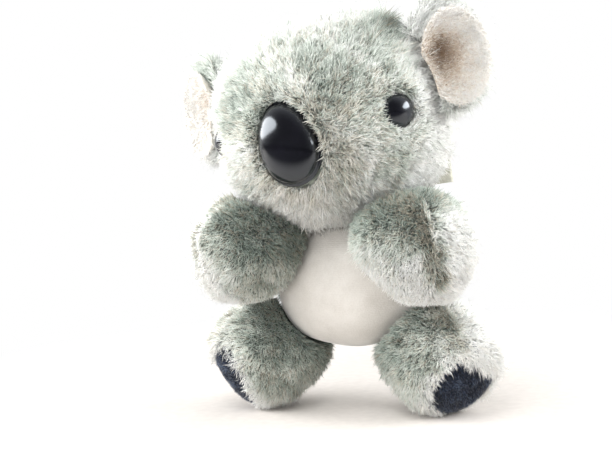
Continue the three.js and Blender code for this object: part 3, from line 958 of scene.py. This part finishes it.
def button_piece(name, item, around, steps):
    """A button turned about its own axis: shank, flat back, rounded rim and an elliptic dome,
    widened and narrowed into its outline. Rings run from the back pole to the front pole."""
    shank, shank_length = item["shank"]
    radius, edge = item["radius"], item["thick"] / 2
    dome_base = item["thick"] if item["rim"] else edge
    profile = [(0.0, -shank_length)]
    profile += [(shank * share, -shank_length) for share in (0.6, 0.97)]
    profile += [(shank, z) for z in np.linspace(-shank_length + 0.2, -0.3, 5)]
    profile += [(shank + 0.4, 0.0), (radius * 0.5, 0.0)]
    profile += [
        (radius - edge * (1 - math.cos(a)), edge + edge * math.sin(a))
        for a in np.linspace(-np.pi / 2, np.pi / 2 if item["rim"] else 0, 7)
    ]
    profile += [
        ((radius - item["rim"]) * math.cos(a), dome_base + (item["dome"] - dome_base) * math.sin(a))
        for a in np.linspace(0, np.pi / 2, steps)[1:-1]
    ]
    r, z = np.array([*profile, (0.0, item["dome"])]).T
    angle = 2 * np.pi * np.arange(around) / around
    x, y = r[1:-1, None] * np.cos(angle), r[1:-1, None] * np.sin(angle)
    narrowed = 1 - item["narrow"] * (y / radius)
    x = np.where(z[1:-1, None] > -0.31, x * item["width"] * narrowed, x)
    rings = np.stack([x, y, z[1:-1, None] + 0 * x], -1).reshape(-1, 3)
    local = np.vstack([rings, [[0, 0, -shank_length], [0, 0, item["dome"]]]])
    points = from_head(item["middle"] + local @ item["turn"].T)
    quads, tris = ball_grid(around, len(r) - 1)[1]
    faces = quads[:, ::-1], tris[:, ::-1]
    mesh_piece(name, points, faces, (glossy.material, "glossy_black", "head"))


button_piece("nose", nose_button, 96, 22)
for name, item in eye_buttons.items():
    button_piece(f"{name}_eye", item, 64, 18)


def dress_node(name, finish):
    """Gives a CAD piece that is kept as it is its material."""
    frame["nodes"][name].data.materials.clear()
    frame["nodes"][name].data.materials.append(finish.material)


washer = Finish("washer", {"Roughness": 0.5})
moulding = washer.noise(1.5, 2.0, 0.5)
washer.coloured(moulding, (0.3, (204, 204, 202)), (0.7, (226, 226, 224)))
washer.bumped(moulding, 0.05)
for name in ("nose", "left_eye", "right_eye"):
    dress_node(f"{name}_washer", washer)

# Ears: a dished plush back with a cream short-pile lining let into its front, sewn on at the
# side of the head so that it bends back at its root.
ear_middle, back_middle = np.array([38.5, -4, 12.5]), np.array([38.5, -3.4, 12.5])
back_radii = np.array([14.2, 4.5, 18.5]) - [2.6, 2.2, 2.6]
ear_cup, ear_splay, right_ear_drop = 5.0, 32, 2.0
lining_middle = ear_middle + [2.2, -2.6, -1.4]
lining_radii = np.array([11.2, 3.0, 15.2]) - [1.4, 0.8, 1.4]
ear_line_x, ear_flex = 34.0, np.linspace(-12, 12, 4)
dark_spots = {"left": (39, 4, 4), "right": (-37.5, -4, 16.5)}


def ear_points(side, radii, middle, directions):
    """A ball flattened to a disc and dished forward by the square of its width and height, then
    splayed back about its root line, in the toy's frame."""
    x, y, z = directions.T
    local = np.stack([
        middle[0] * side + x * radii[0],
        middle[1] + y * radii[1] - ear_cup * (x * x + z * z),
        middle[2] - right_ear_drop * (side < 0) + z * radii[2],
    ], -1)
    return from_head(turned_about(local, (side * ear_line_x, ear_middle[1]), side * ear_splay))


def head_in_own_frame(grow):
    """The head's outside as a share, for points of its own frame."""
    form = {**head_form, "middle": np.zeros(3), "turn": upright}
    return lambda local: share_of_form(form, grow, local)


def ear_neighbours(side, spare):
    """The side of the head, at rest and as the ear flexes."""
    line = (side * ear_line_x, ear_middle[1])
    return [
        lambda points, share=share: share(in_head(points))
        for share in at_rest_and_turned(head_in_own_frame, spare, line, ear_flex)
    ]


# The dark tan ends of these ramps are the colours of the painted shade deep in the ear's hollow.
lining_under = under_finish("lining_under_pile", (120, 94, 72), (214, 198, 178), (247, 244, 238))
lining_strands = strand_finish("lining_strands", 0.3, [
    ((150, 132, 112), (184, 168, 148), (212, 200, 184)),
    ((226, 217, 202), (244, 238, 228), (250, 247, 241)),
    ((240, 237, 230), (251, 250, 247), (254, 253, 251)),
    ((96, 74, 56), (128, 102, 80), (160, 134, 108)),
    ((176, 150, 124), (208, 184, 160), (230, 213, 194)),
    ((236, 228, 214), (249, 244, 235), (253, 250, 245)),
])
ear_grid = ball_grid(84, 56)
lining_pile = {
    **short_pile, "density": 9.0, "length": 1.6, "width": 0.2, "lift": (48, 18), "tuft": 1.4,
    "pull": 0.15,
}


def ear_pieces(name, side):
    """One ear's back and lining, and the fur of each."""
    body, near = f"{name}_ear", ear_neighbours(side, 0.4)
    middle = ear_points(side, (0, 0, 0), ear_middle, np.zeros((1, 3)))[0]
    front_way = head_turn @ way_at(side * ear_splay, 0)
    root = from_head(np.array([side * 33.5, -9.0, 12.0]))
    dark_spot = from_head(np.array(dark_spots[name]))
    directions, faces = ear_grid
    back = seated(ear_points(side, back_radii, back_middle, directions), middle, near)

    def ear_tone(points):
        """Near-white, with a grey-green patch at the back of the ear beside the head."""
        beside = bell(np.linalg.norm(points - dark_spot, axis=1), 8.5)
        return 1.0 - 1.1 * beside + 0.06 * lumps(points, 7, 41)

    x, y, z = directions.T
    hollow = 3.4 * bell(x * side + 0.6, 0.5) * bell(z, 0.7) * np.maximum(-y, 0)
    lining = ear_points(side, lining_radii, lining_middle, directions)
    lining = lining - hollow[:, None] * front_way
    lining = seated(lining, lining.mean(0), near)
    under = lining.mean(0)

    def lining_tone(points):
        """Near-white at the rim, and tan deep in the hollow beside the head, which is painted
        shade, half as deep on the toy's right ear. Gives the tone and the warmth."""
        # Painted shade: tan and warm deep in the hollow beside the head.
        hollow_shade = sum(
            depth * bell(np.linalg.norm(points - from_head(np.array(spot)), axis=1), width)
            for spot, depth, width in (
                ((side * 38.6, -5.5, 14.0), 0.8, 5.6), ((side * 39.0, -6.0, 7.0), 0.4, 8.0),
            )
        ) * (1.0 if side > 0 else 0.5)
        tone = 1.0 - 0.95 * hollow_shade + 0.04 * lumps(points, 5, 52)
        return tone, np.clip(0.02 + 0.9 * hollow_shade, 0, 1)

    def ear_pattern(roots, normals, rng):
        """Outwards from the ear's root, on the back and round the rim, but not under the lining."""
        facing = normals @ front_way
        rim = np.clip(1 - np.abs(facing) / 0.8, 0, 1)
        flow = unit(roots - root) + (0.2 + 0.7 * rim[:, None]) * front_way
        covered = (np.linalg.norm(roots - under, axis=1) < 10.2) & (facing > 0.3)
        keep = ((roots - middle) @ front_way < 5.0) * ~covered * np.where(facing < -0.5, 0.8, 1.0)
        return {"keep": keep, "flow": flow, **coats_by_tone(ear_tone(roots), 0.04, rng)}

    def lining_pattern(roots, normals, rng):
        """Outwards from the ear's root, on the lining's front."""
        keep = (normals @ front_way > -0.1).astype(float)
        flow = unit(roots - root) + 0.2 * down
        return {"keep": keep, "flow": flow, **coats_by_tone(*lining_tone(roots), rng)}

    look, nap_look = (under_plush, "plush", body), (lining_under, "ear_lining", body)
    mesh_piece(f"{body}_back", back, faces, look, tone=ear_tone(back))
    mesh_piece(f"{body}_lining", lining, faces, nap_look, tone=lining_tone(lining)[0])
    short, long = {"length": 3.6, "lift": (46, 26)}, {"length": 4.8, "lift": (50, 26)}
    fur_pieces(
        [f"{body}_fur"], back, faces, plush_pile(42 + side, short, long),
        (plush_strands, "plush", body), ear_pattern, ear_neighbours(side, -1.2)[:1],
    )
    fur_pieces(
        [f"{body}_nap"], lining, faces, [{**lining_pile, "seed": 52 + side}],
        (lining_strands, "ear_lining", body), lining_pattern, near[:1],
    )


for name, side in sides.items():
    ear_pieces(name, side)

# Arms: mitten-shaped plush sacks, each two leaves sewn together over the top and round the paw,
# sewn to the torso below the chin. The pile parts along the seam.
limb_grid = ball_grid(96, 64)


def seam_side(form, points):
    """Signed distance from the upright plane through a limb's axis, where its two leaves meet,
    and the direction across it."""
    across = unit(np.cross(form["axis"], [0, 0, 1.0]))
    return (points - form["middle"]) @ across, across


def limb_skin(form, neighbours, seam_depth, lump_seed, tucks, rolled_over=None):
    """The limb's form under its pile, drawn in along the seam and at its tucks, lumpy, and seated.
    A tuck is a direction whose first part points outwards, a depth and a spread in degrees;
    rolled_over gives the height that the cloth is raised by over an edge."""
    points = form_points(form, under_pile - pile, limb_grid[0])
    ways = unit(points - form["middle"])
    depth = seam_depth * bell(seam_side(form, points)[0], 1.3)
    for way, tuck, spread in tucks:
        way = unit(np.array(way) * [form["side"], 1, 1])
        depth = depth + tuck * bell(np.degrees(angle_from(ways, way)), spread)
    if rolled_over is not None:
        depth = depth - rolled_over(points)
    points = points + ways * (0.35 * lumps(points, 13, lump_seed) - depth)[:, None]
    return seated(points, form["middle"], neighbours)


def limb_tone(form, seed, change, at=0.0, slant=0.0, dark=0.55, width=2.3):
    """Pale below. Paler on the outer side, as painted side light, and dark on the inner side and
    the top, with a warm dark crease at some distance from the seam where it faces up, as painted
    shade. change(points, outwards, upwards) adds to the tone.
    Gives tone and warmth."""

    def tone_of(points, normals):
        outwards, upwards = form["side"] * normals[:, 0], normals[:, 2]
        beside = seam_side(form, points)[0] - at - slant * (points[:, 2] - form["middle"][2])
        facing_up = upwards + (0.5 + abs(slant)) * (normals @ form["axis"])
        # Painted shade: a dark, warm crease, kept to where the cloth faces up.
        crease = bell(beside + 1.1 * lumps(points, 6, seed + 4), width)
        crease = crease * between(facing_up, -0.1, 0.45)
        # Painted side light and shade: paler facing outwards, darker facing inwards and up. Also
        # paler facing down.
        tone = 0.35 + 0.46 * outwards + 0.75 * np.maximum(outwards, 0) ** 2
        tone = tone + 0.45 * np.maximum(-upwards, 0) - 0.16 * np.maximum(upwards, 0)
        tone = tone + 0.08 * lumps(points, 11, seed) + 0.1 * lumps(points, 5, seed + 2)
        tone = tone + 0.09 * lumps(points, 3, seed + 1) - dark * crease
        tone = tone + change(points, outwards, upwards)
        warmth = 0.2 + 0.5 * crease + 0.2 * np.maximum(-upwards, 0)
        return tone, np.clip(warmth + 0.1 * lumps(points, 7, seed + 3), 0, 1)

    return tone_of


def limb_pattern(form, tip, fall, part, tone_of, lie=lambda roots: (0, 1)):
    """Flow: towards the tip and down, and away from the seam beside it. lie(roots) adds to the
    lift and scales the length."""

    def pattern(roots, normals, rng):
        away, across = seam_side(form, roots)
        parting = part * np.sign(away) * np.exp(-np.abs(away) / 4.0)
        flow = tip * form["axis"] + fall * down + parting[:, None] * across
        clumps, (stand, length) = lumps(roots, 2.6, 27), lie(roots)
        return {
            "keep": np.where(normals[:, 1] > 0.5, 0.65, 1.0), "flow": flow,
            "stand": stand + 5 * clumps, "length": length * (1 + 0.12 * clumps),
            **coats_by_tone(*tone_of(roots, normals), rng),
        }

    return pattern


def limb_pieces(name, form, skin, tone, pattern, seed, neighbours):
    """A limb's cover and its fur."""
    mesh_piece(
        f"{name}_cover", skin, limb_grid[1], (under_plush, "plush", name),
        tone=tone(skin, unit(skin - form["middle"]))[0],
    )
    fur_pieces(
        [f"{name}_fur"], skin, limb_grid[1], plush_pile(seed), (plush_strands, "plush", name),
        pattern, neighbours,
    )


arm_tucks = {
    "left": [((-0.65, -0.3, -0.75), 4.0, 36), ((-0.85, -0.45, 0.35), -1.6, 32)],
    "right": [((-0.7, -0.3, -0.7), 3.6, 38)],
}
# The painted shade of each arm's crease: its place, slant, depth and width.
arm_crease_shades = {"left": {"at": 1.8, "slant": 0.3, "dark": 1.3, "width": 3.2}, "right": {}}


def left_arm_change(points, outwards, upwards):
    """Paler below on the inner side. Paler on the outer side, as painted side light, and darker on
    top, as painted shade under the chin.
    """
    inner_below = 0.4 * between(-upwards, -0.45, 0.2) * between(-outwards, -0.6, 0.2)
    change = inner_below - 0.5 * between(upwards, 0.35, 0.85)
    return change + 0.15 * between(outwards, 0.0, 0.5) + 0.12 * between(-upwards, -0.7, -0.1)


def right_arm_change(points, outwards, upwards):
    """Paler below. Paler on the outer side, as painted side light, and darker on the inner side,
    most so on top, as painted shade under the chin.
    """
    change = 0.55 * between(outwards, 0.3, 0.6) + 0.2 * between(-upwards, -0.1, 0.5)
    inner_top_shade = 0.3 * between(upwards, 0.3, 0.7) * between(-outwards, -0.45, 0.1)
    return change - 0.16 * between(-outwards, -0.3, 0.5) - inner_top_shade


arm_changes = {"left": left_arm_change, "right": right_arm_change}
for name, side in sides.items():
    form = arm_forms[name]
    skin = limb_skin(form, arm_neighbours(side, 0.5), 0.7, 60 + side, arm_tucks[name])
    arm_tone = limb_tone(form, 64 + side, arm_changes[name], **arm_crease_shades[name])
    arm_pattern = limb_pattern(form, 0.7, 0.5, 1.4, arm_tone)
    limb_pieces(
        f"{name}_arm", form, skin, arm_tone, arm_pattern, 62 + side, arm_neighbours(side, 0),
    )

# Legs: plush sacks that end in a round sole of navy felt. The fur above falls a little over the
# felt's edge, and the floor presses the lowest fur flat.
sole_radius, sole_sink, felt_thickness, felt_floor_gap = 11.5, 1.5, 1.2, 0.02
not_by_sole, cover_from = 99.0, {1: 6.0, -1: 7.5}
leg_tucks = [((-0.6, -0.5, 0.6), 1.6, 30)]
felt = Finish("felt", {"Roughness": 1.0, "Specular IOR Level": 0.1, "Sheen Weight": 0.25})
mottle = felt.noise(0.8, 4.0, 0.7)
felt.coloured(mottle, (0.3, (18, 23, 36)), (0.75, (40, 48, 66)))
felt.bumped(mottle, 0.25)
felt_strands = strand_finish("felt_strands", 0.15, [
    ((8, 11, 18), (16, 21, 32), (28, 34, 50)),
    ((18, 23, 35), (32, 40, 56), (54, 64, 84)),
    ((34, 40, 58), (78, 92, 118), (140, 158, 184)),
    ((12, 14, 20), (22, 25, 34), (36, 40, 52)),
    ((22, 26, 36), (42, 48, 62), (70, 80, 98)),
    ((40, 46, 60), (96, 104, 122), (160, 170, 188)),
])
felt_pile = {
    **short_pile, "density": 10.0, "length": 1.2, "width": 0.24, "lift": (66, 40), "sway": 60,
    "tuft": 1.2,
}


def from_sole(form, points):
    """Distance from a leg's axis on the sole's side of its middle; a large one elsewhere."""
    local = (points - form["middle"]) @ form["turn"]
    return np.where(local[:, 2] > 0, np.hypot(local[:, 0], local[:, 1]), not_by_sole)


def by_sole(form, points, reach):
    """1 over the sole, falling off past its edge as exp(-distance / reach)."""
    return np.exp(-np.maximum(from_sole(form, points) - sole_radius, 0) / reach)


def over_sole(form, points):
    """1 over the upper outer segment of a sole, which the plush rolls over and hides, else 0."""
    level = unit(np.cross([0, 0, 1.0], form["axis"]))
    upper = unit(np.cross(form["axis"], level)) + 0.42 * form["side"] * level
    height = (points - form["middle"]) @ unit(upper)
    near = between(-from_sole(form, points), -sole_radius - 2.5, -sole_radius - 0.5)
    least = cover_from[form["side"]]
    return near * between(height, least, least + 1.6)


def sole_faces(rings, around):
    """A disc's quads between its rings, and the fan of triangles round its middle point."""
    column = np.arange(around)
    fan = np.stack([0 * column, 1 + column, 1 + (column + 1) % around], -1)
    return 1 + ring_quads(rings - 1, around), fan


def leg_pieces(name, side):
    """One leg's cover and fur, and its sole with the felt's fuzz."""
    form, body = leg_forms[name], f"{name}_leg"
    skin = limb_skin(
        form, leg_neighbours(side, 0.5), 0.6, 70 + side, leg_tucks,
        lambda points: 1.1 * over_sole(form, points),
    )

    def leg_change(points, outwards, upwards):
        """Paler beside the felt's edge and outside the left leg's crease. Darker on top of the
        toy's right leg, as painted shade under the arm."""
        edge = 0.4 * by_sole(form, points, 2.2)
        if side < 0:
            return edge - 0.12 * between(upwards, 0.0, 0.6) * between(-outwards, -0.6, 0.2)
        outside = between(-seam_side(form, points)[0], -2.5, 0.5)
        return edge + 0.06 + 0.3 * outside * between(upwards, -0.4, 0.2)

    def laid_over_sole(roots):
        """The strands beside the felt lie flatter, and the outer ones are longer."""
        out = unit(roots - form["middle"])[:, 0] * side
        return -12 * by_sole(form, roots, 2.0), 1 + 0.3 * between(out, 0.3, 0.8)

    leg_tone = limb_tone(form, 74 + side, leg_change, at=4.0 * (side > 0))
    pattern = limb_pattern(form, 0.4, 0.75, 1.0, leg_tone, laid_over_sole)

    def above_the_sole(roots, normals, rng):
        """The legs' pattern without the disc that the sole shows."""
        found = pattern(roots, normals, rng)
        shown = (from_sole(form, roots) > sole_radius - 0.6) | (over_sole(form, roots) > 0.5)
        return {**found, "keep": found["keep"] * shown}

    limb_pieces(body, form, skin, leg_tone, above_the_sole, 72 + side, leg_neighbours(side, 0)[:3])

    rings, around = 22, 72
    edge_angle = np.arcsin(np.clip(sole_radius / (form["radii"][0] - sole_sink), 0, 0.98))
    cap = rings_about_z(edge_angle * np.linspace(0, 1, rings + 1)[1:], around)
    cap = np.vstack([[[0, 0, 1.0]], cap])
    front = form_points(form, -sole_sink, cap)
    points = np.vstack([front, form_points(form, -sole_sink - felt_thickness, cap)])
    points[:, 2] = np.maximum(points[:, 2], floor_height + felt_floor_gap)
    quads, fan = sole_faces(rings, around)
    edge, offset = 1 + (rings - 1) * around + np.arange(around), len(front)
    after = np.roll(edge, -1)
    rim = np.stack([edge, offset + edge, offset + after, after], -1)
    quads_of_pad = np.vstack([quads, quads[:, ::-1] + offset, rim])
    faces = quads_of_pad, np.vstack([fan, fan[:, ::-1] + offset])
    mesh_piece(f"{name}_sole_pad", points, faces, (felt.material, "felt", body))

    def felt_pattern(roots, normals, rng):
        """Down, with a few pale fibres caught in the navy."""
        tone = 0.42 + 0.16 * lumps(roots, 5, 82) + 0.5 * (rng.random(len(roots)) < 0.04)
        coats = coats_by_tone(tone, 0.2, rng)
        return {"keep": np.ones(len(roots)), "flow": down + 0 * roots, **coats}

    fur_pieces(
        [f"{name}_sole_fuzz"], front, (quads, fan), [{**felt_pile, "seed": 83 + side}],
        (felt_strands, "felt", body), felt_pattern, [level_block(floor_height, False)],
    )


for name, side in sides.items():
    leg_pieces(name, side)

# Label: a blank ribbon of woven satin, folded in two and caught at the side of the head. Its
# weave shows as fine level rows.
ribbon, row_width = Finish("ribbon", {"Roughness": 0.45, "Sheen Weight": 0.3}), 0.35
ribbon_height = ribbon.part(ribbon.place(), 2)
rows = (ribbon_height * (2 * math.pi / (row_width * mm))).sine()
ribbon.coloured(
    ribbon.noise(1.6, 2.0, 0.5) * 0.8 + rows * 0.08, (0.2, (196, 195, 180)), (0.7, (230, 229, 216)),
)
ribbon.bumped(rows, 0.04)
dress_node("sewn_in_label", ribbon)

# Studio: a sheet of white paper under the toy on a darker table, a surround that is white behind
# the toy and dim in front of it, and soft lamps at both sides, above and in front.
bpy.ops.mesh.primitive_plane_add(size=6.0)
floor = bpy.context.object
floor.name = "floor"
paper = Finish("floor_paper", {"Roughness": 0.9, "Specular IOR Level": 0.1})
sheet = paper.ramp(paper.noise(3, 2.0, 0.5), (0.3, (216, 211, 206)), (0.7, (223, 218, 213)))
table, table_from, table_full = colour_of(70, 70, 74), -0.08, -0.2
floor_depth, white_behind = paper.part(paper.place(), 1), 0.1
seen = paper.node("ShaderNodeLightPath", output="Is Camera Ray")
mirrored = paper.node("ShaderNodeLightPath", output="Is Glossy Ray")
on_table = paper.step(floor_depth, table_from, table_full) * (1 - seen)
paper.coloured(paper.mixed(on_table, sheet, table))
# Away from the toy's shadow, the floor that is seen is plain white.
shadow_middle, shadow_core, shadow_edge = (0.0, 0.035, 0.0), 0.06, 0.18
from_shadow = paper.node(
    "ShaderNodeVectorMath", {"operation": "SUBTRACT"}, {0: paper.place(), 1: shadow_middle},
)
away = paper.node("ShaderNodeVectorMath", {"operation": "LENGTH"}, {0: from_shadow}, output=1)
shown_white = seen + mirrored * paper.step(floor_depth, 0.0, white_behind)
white = paper.node("ShaderNodeMixShader", {}, {
    0: paper.step(away, shadow_core, shadow_edge) * shown_white,
    1: Value(paper, paper.shader.outputs[0]), 2: paper.node("ShaderNodeEmission"),
})
paper.feed(paper.tree.nodes["Material Output"].inputs["Surface"], white)
floor.data.materials.append(paper.material)

sky = Finish("surround", {"Color": (1, 1, 1, 1)}, bpy.data.worlds, "Background")
bpy.context.scene.world = sky.material
sky_depth = sky.part(sky.node("ShaderNodeTexCoord", output="Generated"), 1)


def surround_for(ray, otherwise, strength):
    """One strength for a kind of ray and another for the rest."""
    kind = sky.node("ShaderNodeLightPath", output=ray)
    return sky.node("ShaderNodeMix", {}, {0: kind, 2: otherwise, 3: strength})


lighting, reflected = (
    sky.step(sky_depth, -0.8, 0.35, front, back) for front, back in ((0.4, 0.45), (0.12, 1.0))
)
lighting = surround_for("Is Glossy Ray", lighting, reflected)
sky.feed(sky.shader.inputs["Strength"], surround_for("Is Camera Ray", lighting, 1.0))
lamp_target = np.array([0, 0, 0.06])


def softbox(name, place, size, power, mirrored=True):
    """A soft round lamp that faces the toy's middle, mirrored in glossy pieces or not."""
    lamp = bpy.data.lights.new(name, "AREA")
    lamp.shape, lamp.size, lamp.size_y, lamp.energy = "ELLIPSE", *size, power
    holder = bpy.data.objects.new(name, lamp)
    holder.visible_glossy = mirrored
    facing = Matrix(turn_to(lamp_target - place).tolist()).to_4x4()
    holder.matrix_world = Matrix.Translation(place) @ facing @ Matrix.Rotation(math.pi, 4, "X")
    bpy.context.scene.collection.objects.link(holder)


softbox("left_lamp", (-0.55, -0.18, 0.3), (0.3, 0.8), 5.3)
softbox("right_lamp", (0.58, 0.12, 0.34), (0.26, 0.7), 5.4)
softbox("back_lamp", (0.0, 0.6, 0.4), (0.5, 0.3), 0.7, False)
softbox("top_lamp", (0.0, -0.5, 0.66), (0.5, 0.4), 3.1, False)
softbox("front_lamp", (-0.05, -0.65, 0.1), (0.7, 0.4), 2.8, False)

bpy.context.scene.view_settings.view_transform = "Standard"
